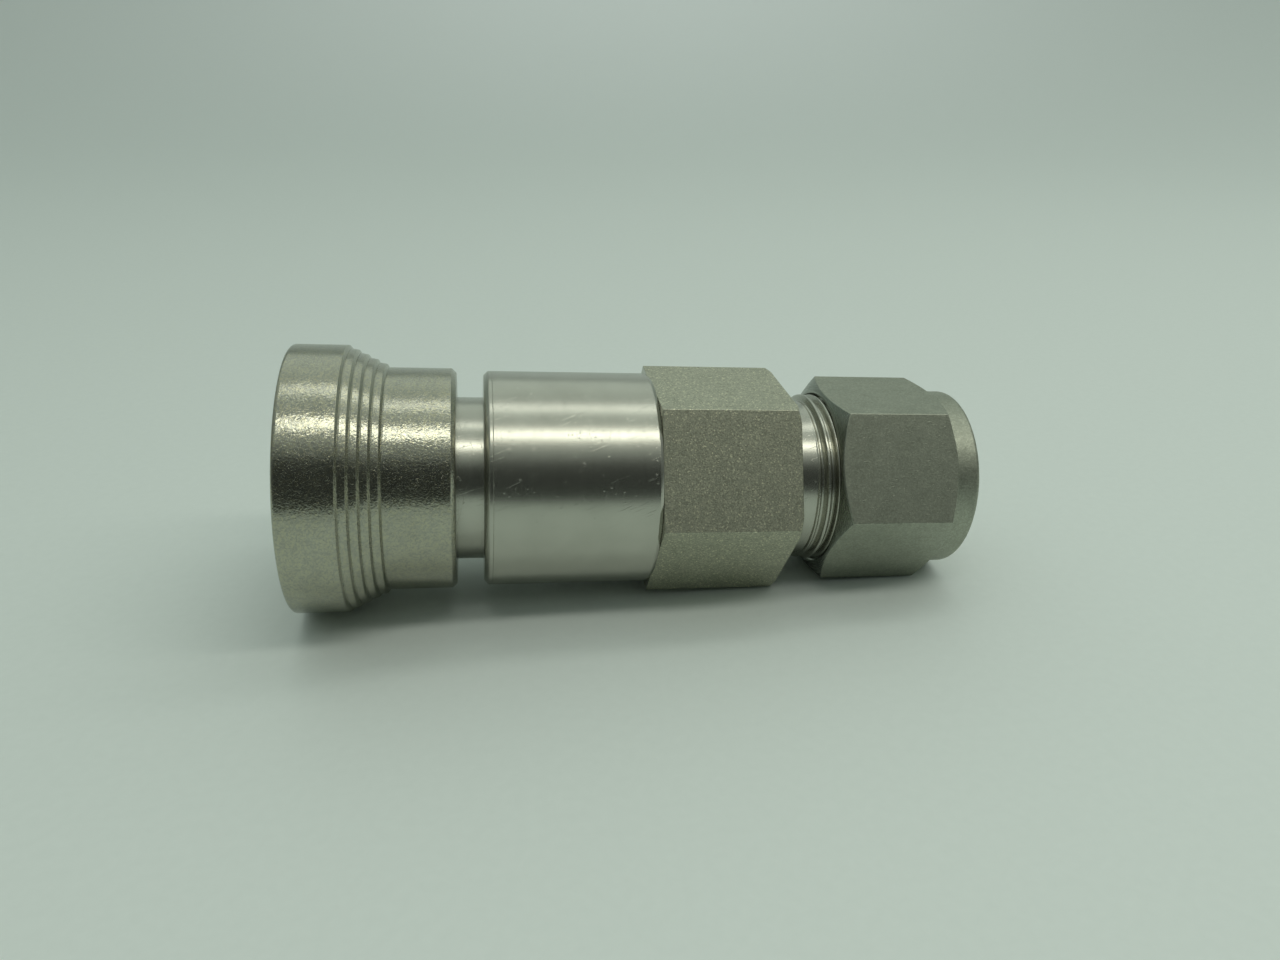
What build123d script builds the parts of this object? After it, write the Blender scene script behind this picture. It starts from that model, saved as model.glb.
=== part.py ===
from build123d import *
import os
from math import cos, hypot, pi, radians, sin, sqrt, tan

# Socket half of a stainless instrumentation quick-connect coupling, for 1/2 inch tube.
# Millimetres. The flow axis is X: X = 0 is the plane of the coupling mouth, where the mating
# stem goes in, and +X points to the tube end. +Z is up when the nut lies on one of its flats.

# ---------------------------------------------------------------- driving dimensions
inch = 25.4

overall_length = 79.2            # mouth plane to the back of the tube nut

# lock sleeve, outside
flare_radius = 15.35
flare_length = 6.1
sleeve_radius = 12.88
sleeve_length = 18.05
rib_count = 5
rib_pitch = 1.03
rib_riser_run = 0.26
rib_riser_drop = 0.44
rib_lip_run = 0.13
rib_lip_rise = 0.04
sleeve_travel = 3.0

# coupling body, outside
barrel_face_x = 0.4
barrel_radius = 8.4              # front barrel, carries the lock balls
barrel_step_x = 16.0
guide_radius = 9.52              # rear barrel, guides the sleeve
collar_front_x = 21.15
collar_back_x = 40.55
collar_radius = 12.63

# coupling body, inside
stem_bore_radius = 6.3
stem_bore_floor_x = 21.0
ball_relief_radius = 6.55        # clears the stem under the lock balls
ball_relief_front_x = 4.3
ball_relief_back_x = 8.1
orifice_radius = 5.0
seat_x = 22.6                    # small end of the 45 degree valve seat
seat_depth = 2.2
cavity_radius = 8.9
joint_bore_radius = 9.62         # female thread for the connector's spigot
joint_bore_x = 34.0

# lock balls
ball_count = 8
ball_radius = inch / 16
ball_x = 6.2
ball_centre_locked = 7.19        # distance of a ball's centre from the axis
ball_travel = 0.72
ball_hole_clearance = 0.02

# seals
cord_radius = 0.89               # 1.78 mm O-ring cord
seal_groove_front_x = 16.4
seal_groove_back_x = 19.6
stem_seal_inner_radius = 6.21
backup_ring_width = 1.2
backup_ring_lead = 0.3

# poppet valve
poppet_nose_x = 17.2
poppet_nose_radius = 3.4
poppet_head_radius = 7.0
poppet_head_back_x = 27.2
poppet_boss_radius = 5.2
poppet_boss_length = 1.2
poppet_tail_radius = 2.5
poppet_tail_x = 40.6
poppet_face_gap = 0.35           # between the two cones, where the seal stands proud
poppet_seal_gap = 0.02
poppet_seal_centre_radius = 5.6
poppet_travel = 3.8

# springs
sleeve_spring_wire = 0.9
sleeve_spring_turns = 3.2
poppet_spring_wire = 0.8
poppet_spring_mean_radius = 5.9
poppet_spring_turns = 4.8

# tube connector
hex_flats = 15 / 16 * inch       # across flats
hex_clocking = 1.3               # degrees the connector's hexagon stands turned from the nut's
hex_front_x = 40.58
hex_back_x = 56.74
spigot_front_x = 34.2
spigot_radius = 9.58
guide_pocket_radius = 7.4
guide_pocket_floor_x = 38.6
flow_bore_radius = 5.2
tube_stop_x = 56.0
tube_bore_radius = 6.4           # takes 12.7 mm tube
neck_radius = 9.59
thread_start_x = 59.5
thread_end_x = 71.2
thread_radius = 13 / 32 * inch   # 13/16-20 male thread
thread_pitch = inch / 20
ferrule_cone_length = 3.0
ferrule_cone_angle = 20

# tube nut
nut_flats = 7 / 8 * inch
nut_front_x = 61.75
nut_flats_end_x = 76.3
nut_neck_radius = 10.9
nut_face_radius = 10.75
nut_chamfer_length = 1.2
nut_pocket_x = 71.5
nut_pocket_radius = 8.6
nut_shoulder_x = 75.7
nut_hole_radius = 6.46

running_gap = 0.04               # between pieces that slide or screw together
end_gap = 0.05                   # between a spring, ring or cone and the face beside it
small_edge = 0.4                 # usual width of a turned chamfer
chamfer_slope = tan(radians(30))
beyond = 1.0                     # how far a cutting shape runs past what it cuts

os.makedirs("parts", exist_ok=True)


def write(piece, name):
    """Label a finished piece and write its own STEP file."""
    piece.part.label = name
    export_step(piece.part, f"parts/{name}.step")


def ring_section(front_x, back_x, inner_radius, outer_radius):
    """Outline of a square-cut ring's section, in (X, radius)."""
    Polyline(
        (front_x, inner_radius), (back_x, inner_radius), (back_x, outer_radius),
        (front_x, outer_radius), close=True,
    )


def thread_outline(start_x, end_x, major_radius, depth, pitch):
    """Crests and roots of a 60 degree thread form between two planes, in (X, radius)."""
    flank = depth * tan(radians(30))
    crest = (pitch - 2 * flank) / 2
    points = []
    turns = int((end_x - start_x) / pitch)
    for turn in range(turns):
        x = start_x + turn * pitch
        points += [
            (x, major_radius - depth),
            (x + flank, major_radius),
            (x + flank + crest, major_radius),
            (x + 2 * flank + crest, major_radius - depth),
        ]
    return points


# ---------------------------------------------------------------- lock sleeve
# The inside cone is the path of the balls' outer surface: the sleeve moves back by
# sleeve_travel while the balls move out by ball_travel.
cam_slope = ball_travel / sleeve_travel
cam_gap = 0.03
land_radius = ball_centre_locked + ball_radius * hypot(1, cam_slope) + cam_gap
mouth_radius = 12.4
mouth_depth = 1.0
ring_pocket_radius = 10.4
stop_face_x = 2.45
land_end_x = 8.2
spring_shoulder_x = 9.4
sleeve_edge = 0.5
flare_edge = 0.3

rib_points = []
rib_fall = (flare_radius - sleeve_radius) - rib_count * (rib_riser_drop - rib_lip_rise)
land_fall = rib_fall / (rib_count - 1)
rib_radius = flare_radius
for rib in range(rib_count):
    rib_x = flare_length + rib * rib_pitch
    rib_points += [
        (rib_x, rib_radius),
        (rib_x + rib_riser_run, rib_radius - rib_riser_drop),
        (rib_x + rib_riser_run + rib_lip_run, rib_radius - rib_riser_drop + rib_lip_rise),
    ]
    rib_radius -= rib_riser_drop - rib_lip_rise + land_fall

with BuildPart() as lock_sleeve:
    with BuildSketch(Plane.XY):
        with BuildLine():
            Polyline(
                (0, mouth_radius + sleeve_edge),
                (0, flare_radius - flare_edge),
                (flare_edge, flare_radius),
                *rib_points,
                (sleeve_length - sleeve_edge, sleeve_radius),
                (sleeve_length, sleeve_radius - sleeve_edge),
                (sleeve_length, guide_radius + running_gap),
                (spring_shoulder_x, guide_radius + running_gap),
                (spring_shoulder_x, barrel_radius + running_gap),
                (land_end_x, barrel_radius + running_gap),
                (land_end_x, land_radius),
                (ball_x, land_radius),
                (stop_face_x, land_radius + cam_slope * (ball_x - stop_face_x)),
                (stop_face_x, ring_pocket_radius),
                (mouth_depth, mouth_radius),
                (sleeve_edge, mouth_radius),
                close=True,
            )
        make_face()
    revolve(axis=Axis.X)
write(lock_sleeve, "lock_sleeve")


# ---------------------------------------------------------------- coupling body
ring_groove_front_x = 1.5
ring_groove_back_x = 2.4
ring_groove_radius = 7.6
seal_groove_radius = stem_seal_inner_radius + 2 * cord_radius
lead_in = 0.8
collar_edge = 0.5
collar_line_x = collar_front_x + 0.85
collar_line = 0.05
ball_hole_radius = ball_radius + ball_hole_clearance
ball_lip_radius = 1.36
ball_lip_height = 0.6

ball_angles = [2 * pi * (ball + 0.5) / ball_count for ball in range(ball_count)]
ball_planes = [
    Plane(origin=(ball_x, 0, 0), x_dir=(1, 0, 0), z_dir=(0, cos(angle), sin(angle)))
    for angle in ball_angles
]
outward = (Align.CENTER, Align.CENTER, Align.MIN)

with BuildPart() as coupling_body:
    with BuildSketch(Plane.XY):
        with BuildLine():
            Polyline(
                (barrel_face_x, stem_bore_radius + small_edge),
                (barrel_face_x, barrel_radius - small_edge),
                (barrel_face_x + small_edge, barrel_radius),
                (ring_groove_front_x, barrel_radius),
                (ring_groove_front_x, ring_groove_radius),
                (ring_groove_back_x, ring_groove_radius),
                (ring_groove_back_x, barrel_radius),
                (barrel_step_x, barrel_radius),
                (barrel_step_x, guide_radius - small_edge),
                (barrel_step_x + small_edge, guide_radius),
                (collar_front_x, guide_radius),
                (collar_front_x, collar_radius - collar_edge),
                (collar_front_x + collar_edge, collar_radius),
                (collar_line_x, collar_radius),
                (collar_line_x + collar_line, collar_radius - collar_line),
                (collar_line_x + 2 * collar_line, collar_radius),
                (collar_back_x - small_edge, collar_radius),
                (collar_back_x, collar_radius - small_edge / 2),
                (collar_back_x, joint_bore_radius),
                (joint_bore_x, joint_bore_radius),
                (joint_bore_x, cavity_radius),
                (seat_x + seat_depth, cavity_radius),
                (seat_x + seat_depth, orifice_radius + seat_depth),
                (seat_x, orifice_radius),
                (stem_bore_floor_x, orifice_radius),
                (stem_bore_floor_x, stem_bore_radius),
                (seal_groove_back_x, stem_bore_radius),
                (seal_groove_back_x, seal_groove_radius),
                (seal_groove_front_x, seal_groove_radius),
                (seal_groove_front_x, stem_bore_radius),
                (ball_relief_back_x, stem_bore_radius),
                (ball_relief_back_x, ball_relief_radius),
                (ball_relief_front_x, ball_relief_radius),
                (ball_relief_front_x, stem_bore_radius),
                (barrel_face_x + lead_in, stem_bore_radius),
                close=True,
            )
        make_face()
    revolve(axis=Axis.X)
    # Each ball hole narrows to a lip at the bore, which keeps the ball from falling in.
    for ball_plane in ball_planes:
        with Locations(ball_plane.offset(stem_bore_radius - beyond)):
            Cylinder(ball_lip_radius, beyond, align=outward, mode=Mode.SUBTRACT)
        with Locations(ball_plane.offset(stem_bore_radius)):
            Cone(ball_lip_radius, ball_hole_radius, ball_lip_height, align=outward, mode=Mode.SUBTRACT)
        with Locations(ball_plane.offset(stem_bore_radius + ball_lip_height)):
            Cylinder(ball_hole_radius, barrel_radius, align=outward, mode=Mode.SUBTRACT)
write(coupling_body, "coupling_body")


# ---------------------------------------------------------------- lock balls
for number, ball_plane in enumerate(ball_planes, start=1):
    with BuildPart() as lock_ball:
        with Locations(ball_plane.offset(ball_centre_locked)):
            Sphere(ball_radius)
    write(lock_ball, f"lock_ball_{number}")


# ---------------------------------------------------------------- sleeve retaining ring
# A split ring in the barrel's front groove, which stops the sleeve from coming off forwards.
ring_outer_radius = 9.95
ring_split_angle = 20

with BuildPart() as retaining_ring:
    with BuildSketch(Plane.XY):
        with BuildLine():
            ring_section(
                ring_groove_front_x + end_gap, ring_groove_back_x - end_gap,
                ring_groove_radius + end_gap, ring_outer_radius,
            )
        make_face()
    revolve(axis=Axis.X, revolution_arc=360 - ring_split_angle)
write(retaining_ring, "sleeve_retaining_ring")


# ---------------------------------------------------------------- springs
def spring_path(front_x, back_x, mean_radius, wire, turns):
    """Centre line of a compression spring that fills the length between two faces."""
    length = back_x - front_x - wire
    return Helix(
        pitch=length / turns, height=length, radius=mean_radius,
        center=(front_x + wire / 2, 0, 0), direction=(1, 0, 0),
    )


sleeve_spring_radius = (barrel_radius + guide_radius + running_gap) / 2
with BuildPart() as sleeve_spring:
    with BuildLine():
        coil = spring_path(
            spring_shoulder_x + end_gap, barrel_step_x - end_gap,
            sleeve_spring_radius, sleeve_spring_wire, sleeve_spring_turns,
        )
    with BuildSketch(Plane(origin=coil @ 0, z_dir=coil % 0)):
        Circle(sleeve_spring_wire / 2)
    sweep(is_frenet=True)
write(sleeve_spring, "sleeve_spring")

guide_thickness = 2.2
guide_front_x = guide_pocket_floor_x - guide_thickness
with BuildPart() as poppet_spring:
    with BuildLine():
        coil = spring_path(
            poppet_head_back_x + end_gap, guide_front_x - end_gap,
            poppet_spring_mean_radius, poppet_spring_wire, poppet_spring_turns,
        )
    with BuildSketch(Plane(origin=coil @ 0, z_dir=coil % 0)):
        Circle(poppet_spring_wire / 2)
    sweep(is_frenet=True)
write(poppet_spring, "poppet_spring")


# ---------------------------------------------------------------- seals
stem_seal_x = seal_groove_back_x - end_gap - cord_radius
with BuildPart() as stem_seal:
    with BuildSketch(Plane.XY):
        with Locations((stem_seal_x, stem_seal_inner_radius + cord_radius)):
            Circle(cord_radius)
    revolve(axis=Axis.X)
write(stem_seal, "stem_seal")

# The back-up ring's bore opens towards the mouth, so that the stem finds its way in.
backup_ring_back_x = seal_groove_front_x + backup_ring_width
with BuildPart() as stem_backup_ring:
    with BuildSketch(Plane.XY):
        with BuildLine():
            Polyline(
                (seal_groove_front_x, stem_bore_radius + backup_ring_lead),
                (backup_ring_back_x, stem_bore_radius + end_gap),
                (backup_ring_back_x, seal_groove_radius),
                (seal_groove_front_x, seal_groove_radius),
                close=True,
            )
        make_face()
    revolve(axis=Axis.X)
write(stem_backup_ring, "stem_backup_ring")

body_seal_radius = joint_bore_radius - cord_radius
body_seal_groove_front_x = 35.0
body_seal_groove_back_x = 37.2
with BuildPart() as body_seal:
    with BuildSketch(Plane.XY):
        with Locations(((body_seal_groove_front_x + body_seal_groove_back_x) / 2, body_seal_radius)):
            Circle(cord_radius)
    revolve(axis=Axis.X)
write(body_seal, "body_seal")

# The poppet seal sits in the poppet's cone and stands proud of it, towards the body's seat.
# On the seat cone, X minus radius is constant.
seat_line = seat_x - orifice_radius
poppet_line = seat_line + poppet_face_gap * sqrt(2)
poppet_seal_x = poppet_seal_centre_radius + seat_line + (cord_radius + poppet_seal_gap) * sqrt(2)
with BuildPart() as poppet_seal:
    with BuildSketch(Plane.XY):
        with Locations((poppet_seal_x, poppet_seal_centre_radius)):
            Circle(cord_radius)
    revolve(axis=Axis.X)
write(poppet_seal, "poppet_seal")


# ---------------------------------------------------------------- poppet
with BuildPart() as valve_poppet:
    with BuildSketch(Plane.XY):
        with BuildLine():
            Polyline(
                (poppet_nose_x, 0),
                (poppet_nose_x, poppet_nose_radius - small_edge),
                (poppet_nose_x + small_edge, poppet_nose_radius),
                (poppet_line + poppet_nose_radius, poppet_nose_radius),
                (poppet_line + poppet_head_radius, poppet_head_radius),
                (poppet_head_back_x, poppet_head_radius),
                (poppet_head_back_x, poppet_boss_radius),
                (poppet_head_back_x + poppet_boss_length, poppet_boss_radius - small_edge),
                (poppet_head_back_x + poppet_boss_length, poppet_tail_radius),
                (poppet_tail_x - small_edge, poppet_tail_radius),
                (poppet_tail_x, poppet_tail_radius - small_edge),
                (poppet_tail_x, 0),
                close=True,
            )
        make_face()
        with Locations((poppet_seal_x, poppet_seal_centre_radius)):
            Circle(cord_radius, mode=Mode.SUBTRACT)
    revolve(axis=Axis.X)
write(valve_poppet, "valve_poppet")


# ---------------------------------------------------------------- poppet guide
# A three-spoked disc that carries the poppet's tail and the back end of its spring.
guide_radius_fit = guide_pocket_radius - running_gap
guide_hub_radius = 3.7
guide_rim_radius = 5.45
guide_spoke_angle = 26
guide_spokes = 3
with BuildPart() as poppet_guide:
    with BuildSketch(Plane.YZ.offset(guide_front_x)):
        Circle(guide_radius_fit)
        Circle(poppet_tail_radius + running_gap, mode=Mode.SUBTRACT)
    extrude(amount=guide_thickness)
    window_arc = 360 / guide_spokes - guide_spoke_angle
    for spoke in range(guide_spokes):
        with BuildSketch(Plane.XY.rotated((spoke * 360 / guide_spokes, 0, 0))):
            with BuildLine():
                ring_section(
                    guide_front_x - beyond, guide_pocket_floor_x + beyond, guide_hub_radius, guide_rim_radius,
                )
            make_face()
        revolve(axis=Axis.X, revolution_arc=window_arc, mode=Mode.SUBTRACT)
write(poppet_guide, "poppet_guide")


# ---------------------------------------------------------------- tube connector
thread_depth = 0.613 * thread_pitch
spigot_thread_x = 37.7
spigot_chamfer = 0.5
ferrule_cone_x = thread_end_x - ferrule_cone_length
cone_slope = tan(radians(ferrule_cone_angle))
ferrule_mouth_radius = tube_bore_radius + ferrule_cone_length * cone_slope
hex_corner_face_radius = 12.95
hex_corner_radius = hex_flats / 2 / cos(radians(30))
hex_turning_radius = hex_corner_radius + beyond

with BuildPart() as tube_connector:
    with BuildSketch(Plane.YZ.offset(hex_front_x)):
        RegularPolygon(hex_flats / 2, 6, major_radius=False, rotation=hex_clocking)
    extrude(amount=hex_back_x - hex_front_x)
    # The corners are turned off at the tube side only.
    with BuildSketch(Plane.XY):
        with BuildLine():
            Polyline(
                (hex_front_x - beyond, 0),
                (hex_front_x - beyond, hex_turning_radius),
                (hex_back_x - (hex_turning_radius - hex_corner_face_radius) * chamfer_slope, hex_turning_radius),
                (hex_back_x, hex_corner_face_radius),
                (hex_back_x, 0),
                close=True,
            )
        make_face()
    revolve(axis=Axis.X, mode=Mode.INTERSECT)
    with BuildSketch(Plane.XY):
        with BuildLine():
            Polyline(
                (spigot_front_x, 0),
                (spigot_front_x, spigot_radius - spigot_chamfer),
                (spigot_front_x + spigot_chamfer, spigot_radius),
                (body_seal_groove_front_x, spigot_radius),
                (body_seal_groove_front_x, body_seal_radius - cord_radius),
                (body_seal_groove_back_x, body_seal_radius - cord_radius),
                (body_seal_groove_back_x, spigot_radius),
                *thread_outline(spigot_thread_x, hex_front_x, spigot_radius, thread_depth, thread_pitch),
                (hex_front_x, spigot_radius - thread_depth),
                (hex_back_x, neck_radius),
                (thread_start_x, neck_radius),
                *thread_outline(thread_start_x, thread_end_x, thread_radius, thread_depth, thread_pitch),
                (thread_end_x, thread_radius - thread_depth),
                (thread_end_x, 0),
                close=True,
            )
        make_face()
    revolve(axis=Axis.X)
    with BuildSketch(Plane.XY):
        with BuildLine():
            Polyline(
                (spigot_front_x, 0),
                (spigot_front_x, guide_pocket_radius),
                (guide_pocket_floor_x, guide_pocket_radius),
                (guide_pocket_floor_x, flow_bore_radius),
                (tube_stop_x, flow_bore_radius),
                (tube_stop_x, tube_bore_radius),
                (ferrule_cone_x, tube_bore_radius),
                (thread_end_x, ferrule_mouth_radius),
                (thread_end_x, 0),
                close=True,
            )
        make_face()
    revolve(axis=Axis.X, mode=Mode.SUBTRACT)
write(tube_connector, "tube_connector")


# ---------------------------------------------------------------- ferrules
ferrule_bore_radius = tube_bore_radius + running_gap
front_ferrule_nose_x = ferrule_cone_x + 1.1
front_ferrule_nose_radius = tube_bore_radius + (front_ferrule_nose_x - ferrule_cone_x) * cone_slope - end_gap
front_ferrule_cone_end_x = thread_end_x + 0.1
front_ferrule_cone_end_radius = (
    front_ferrule_nose_radius + (front_ferrule_cone_end_x - front_ferrule_nose_x) * cone_slope
)
front_ferrule_flange_x = 71.6
front_ferrule_flange_radius = 8.2
front_ferrule_back_x = 73.8
back_ferrule_nose_x = 73.05
back_ferrule_flange_x = 74.0
back_ferrule_flange_radius = 7.8
wedge_wall = 0.15                # thickness of the back ferrule's nose
wedge_rise = 0.75                # height of the cone behind it
with BuildPart() as front_ferrule:
    with BuildSketch(Plane.XY):
        with BuildLine():
            Polyline(
                (front_ferrule_nose_x, ferrule_bore_radius),
                (front_ferrule_nose_x, front_ferrule_nose_radius),
                (front_ferrule_cone_end_x, front_ferrule_cone_end_radius),
                (front_ferrule_flange_x, front_ferrule_flange_radius),
                (front_ferrule_back_x, front_ferrule_flange_radius),
                (front_ferrule_back_x, ferrule_bore_radius + wedge_wall + wedge_rise + end_gap),
                (back_ferrule_nose_x - wedge_wall, ferrule_bore_radius + wedge_wall + end_gap),
                (back_ferrule_nose_x - wedge_wall, ferrule_bore_radius),
                close=True,
            )
        make_face()
    revolve(axis=Axis.X)
write(front_ferrule, "front_ferrule")

with BuildPart() as back_ferrule:
    with BuildSketch(Plane.XY):
        with BuildLine():
            Polyline(
                (back_ferrule_nose_x, ferrule_bore_radius),
                (back_ferrule_nose_x, ferrule_bore_radius + wedge_wall),
                (back_ferrule_flange_x, ferrule_bore_radius + wedge_wall + wedge_rise),
                (back_ferrule_flange_x, back_ferrule_flange_radius),
                (nut_shoulder_x - end_gap, back_ferrule_flange_radius),
                (nut_shoulder_x - end_gap, ferrule_bore_radius),
                close=True,
            )
        make_face()
    revolve(axis=Axis.X)
write(back_ferrule, "back_ferrule")


# ---------------------------------------------------------------- tube nut
nut_corner_radius = nut_flats / 2 / cos(radians(30))
nut_thread_bore = thread_radius + running_gap
nut_back_edge = 0.5
with BuildPart() as tube_nut:
    with BuildSketch(Plane.YZ.offset(nut_front_x)):
        RegularPolygon(nut_flats / 2, 6, major_radius=False)
    extrude(amount=nut_flats_end_x - nut_front_x)
    with BuildSketch(Plane.XY):
        with BuildLine():
            Polyline(
                (nut_front_x, 0),
                (nut_front_x, nut_face_radius),
                (nut_front_x + nut_chamfer_length, nut_corner_radius),
                (nut_flats_end_x - (nut_corner_radius - nut_neck_radius) * chamfer_slope,
                 nut_corner_radius),
                (nut_flats_end_x, nut_neck_radius),
                (nut_flats_end_x, 0),
                close=True,
            )
        make_face()
    revolve(axis=Axis.X, mode=Mode.INTERSECT)
    with BuildSketch(Plane.XY):
        with BuildLine():
            Polyline(
                (nut_flats_end_x - beyond, 0),
                (nut_flats_end_x - beyond, nut_neck_radius),
                (overall_length - nut_back_edge, nut_neck_radius),
                (overall_length, nut_neck_radius - nut_back_edge),
                (overall_length, 0),
                close=True,
            )
        make_face()
    revolve(axis=Axis.X)
    with BuildSketch(Plane.XY):
        with BuildLine():
            Polyline(
                (nut_front_x, 0),
                (nut_front_x, nut_thread_bore + small_edge / 2),
                (nut_front_x + small_edge / 2, nut_thread_bore),
                (nut_pocket_x, nut_thread_bore),
                (nut_pocket_x, nut_pocket_radius),
                (nut_shoulder_x, nut_pocket_radius),
                (nut_shoulder_x, nut_hole_radius),
                (overall_length - small_edge, nut_hole_radius),
                (overall_length, nut_hole_radius + small_edge),
                (overall_length, 0),
                close=True,
            )
        make_face()
    revolve(axis=Axis.X, mode=Mode.SUBTRACT)
write(tube_nut, "tube_nut")
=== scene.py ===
from math import atan2, ceil, cos, hypot, pi, radians, sin, tan

import bpy
from mathutils import Matrix, Vector


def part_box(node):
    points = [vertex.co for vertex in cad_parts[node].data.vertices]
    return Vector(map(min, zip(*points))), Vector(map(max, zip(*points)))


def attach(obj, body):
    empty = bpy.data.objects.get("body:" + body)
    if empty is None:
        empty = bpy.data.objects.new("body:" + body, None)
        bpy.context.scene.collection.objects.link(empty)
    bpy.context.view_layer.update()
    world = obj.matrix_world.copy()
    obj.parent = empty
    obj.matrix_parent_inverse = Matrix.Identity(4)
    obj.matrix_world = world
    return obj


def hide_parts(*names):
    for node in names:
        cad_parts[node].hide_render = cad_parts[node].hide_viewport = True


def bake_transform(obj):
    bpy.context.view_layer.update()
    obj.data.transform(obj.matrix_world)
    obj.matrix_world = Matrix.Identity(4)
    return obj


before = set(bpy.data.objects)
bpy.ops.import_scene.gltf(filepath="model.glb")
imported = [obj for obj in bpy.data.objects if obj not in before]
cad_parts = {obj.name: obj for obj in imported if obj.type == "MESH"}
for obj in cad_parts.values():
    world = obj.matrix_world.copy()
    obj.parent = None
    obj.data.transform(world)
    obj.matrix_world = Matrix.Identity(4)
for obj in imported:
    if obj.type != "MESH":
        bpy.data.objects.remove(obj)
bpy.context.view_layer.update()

# Lengths in this script are millimetres in the frame of the CAD model, X along the flow axis.
# metre() turns them into Blender's metres.
MM = 0.001


def metre(*values):
    """Millimetres to metres, as a tuple."""
    return tuple(value * MM for value in values)


def box_mm(node):
    """Lowest and highest corner of a CAD node, in millimetres."""
    low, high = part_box(node)
    return low / MM, high / MM


# ---------------------------------------------------------------- sizes read from the frame
sleeve_high = box_mm("lock_sleeve")[1]
body_high = box_mm("coupling_body")[1]
connector_low, connector_high = box_mm("tube_connector")
nut_low, nut_high = box_mm("tube_nut")

sleeve_length = sleeve_high.x
flare_radius = sleeve_high.z
collar_radius = body_high.z
collar_back_x = body_high.x
connector_front_x = connector_low.x
connector_back_x = connector_high.x
nut_apothem = nut_high.z
nut_front_x = nut_low.x
overall_length = nut_high.x

# ---------------------------------------------------------------- feature sizes, as in the CAD
flare_length = 6.1
sleeve_radius = 12.88
rib_count = 5
rib_pitch = 1.03
rib_riser_run = 0.26
rib_riser_drop = 0.44
rib_lip_run = 0.13
rib_lip_rise = 0.04
mouth_radius = 12.4
mouth_depth = 1.0
ring_pocket_radius = 10.4
stop_face_x = 2.45
land_radius = 8.8526
cam_slope = 0.24
ball_x = 6.2
land_end_x = 8.2
spring_shoulder_x = 9.4
running_gap = 0.04

barrel_face_x = 0.4
barrel_radius = 8.4
barrel_step_x = 16.0
guide_radius = 9.52
collar_front_x = 21.15
collar_chamfer = 0.5
collar_line_x = 22.0
collar_line = 0.05
stem_bore_radius = 6.3
stem_bore_lead_in = 0.8
stem_bore_floor_x = 21.0
orifice_radius = 5.0
seat_x = 22.6
seat_depth = 2.2
cavity_radius = 8.9
joint_bore_radius = 9.62
joint_bore_x = 34.0
ring_groove = (1.5, 2.4, 7.6)            # front X, back X and floor radius of each groove
seal_groove = (16.4, 19.6, 7.99)
ball_relief = (4.3, 8.1, 6.55)
ball_count = 8
ball_hole_radius = 1.6075
ball_lip_radius = 1.36
ball_lip_height = 0.6

hex_front_x = 40.58
hex_back_x = 56.74
hex_apothem = 25.4 * 15 / 32
hex_clocking = radians(1.3)
hex_corner_face_radius = 12.95
hex_edge = 0.12
hex_chamfer_slope = tan(radians(30))     # of the corners behind both hexagons
spigot_radius = 9.58
guide_pocket_radius = 7.4
guide_pocket_floor_x = 38.6
flow_bore_radius = 5.2
tube_stop_x = 56.0
tube_bore_radius = 6.4
neck_radius = 9.59
thread_start_x = 59.5
thread_radius = 25.4 * 13 / 32
thread_pitch = 25.4 / 20
thread_depth = 0.613 * thread_pitch
thread_lead_in = 0.6
ferrule_cone_length = 3.0
ferrule_cone_angle = radians(20)
body_seal_groove = (35.0, 37.2, 7.84)

nut_edge = 0.16
nut_thread_edge = 0.2
nut_flats_end_x = 76.3
nut_neck_radius = 10.9
nut_face_radius = 10.75
nut_chamfer_length = 1.2
nut_thread_bore = thread_radius + running_gap
nut_pocket_x = 71.5
nut_pocket_radius = 8.6
nut_shoulder_x = 75.7
nut_hole_radius = 6.46


# ---------------------------------------------------------------- mesh tools
fillet_share = 0.45              # how much of an edge the fillet at one of its ends may take
shortest_edge = 1e-6             # corners nearer to each other than this count as one point


def held(value):
    """A value held between 0 and 1."""
    return min(1.0, max(0.0, value))


def eased(share):
    """A share from 0 to 1 with a soft start and a soft end."""
    share = held(share)
    return share * share * (3 - 2 * share)


def rounded(corners, steps=3):
    """A closed outline in (X, radius) with each corner (x, radius, fillet) turned into an arc."""
    outline = []
    count = len(corners)
    for index, (x, r, fillet) in enumerate(corners):
        corner = Vector((x, r))
        before = Vector(corners[index - 1][:2]) - corner
        after = Vector(corners[(index + 1) % count][:2]) - corner
        room = min(before.length, after.length)
        if fillet <= 0 or room < shortest_edge:
            outline.append((x, r))
            continue
        half = before.angle(after) / 2
        reach = min(fillet / tan(half), fillet_share * room)
        radius = reach * tan(half)
        start = corner + before.normalized() * reach
        end = corner + after.normalized() * reach
        middle = (start + end) / 2
        outward = (middle - corner).normalized()
        centre = corner + outward * (radius / sin(half))
        first, last = start - centre, end - centre
        sweep = first.angle_signed(last)
        for step in range(steps + 1):
            spoke = first.copy()
            spoke.rotate(Matrix.Rotation(-sweep * step / steps, 2))
            outline.append(tuple(centre + spoke))
    return outline


def make_object(name, vertices, faces, smooth=True):
    """A mesh object from vertices in millimetres."""
    mesh = bpy.data.meshes.new(name)
    mesh.from_pydata([metre(*v) for v in vertices], [], faces)
    mesh.polygons.foreach_set("use_smooth", [smooth] * len(mesh.polygons))
    mesh.validate()
    mesh.update()
    made = bpy.data.objects.new(name, mesh)
    bpy.context.scene.collection.objects.link(made)
    return made


def skin(name, angles, outlines):
    """A closed body round the X axis: one closed outline in (X, radius) for each angle."""
    rows = len(outlines[0])
    columns = len(angles)
    vertices = []
    for angle, outline in zip(angles, outlines):
        c, s = cos(angle), sin(angle)
        vertices += [(x, r * c, r * s) for x, r in outline]
    faces = []
    for column in range(columns):
        here, there = column * rows, ((column + 1) % columns) * rows
        for row in range(rows):
            up = (row + 1) % rows
            faces.append((here + row, there + row, there + up, here + up))
    return make_object(name, vertices, faces)


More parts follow.
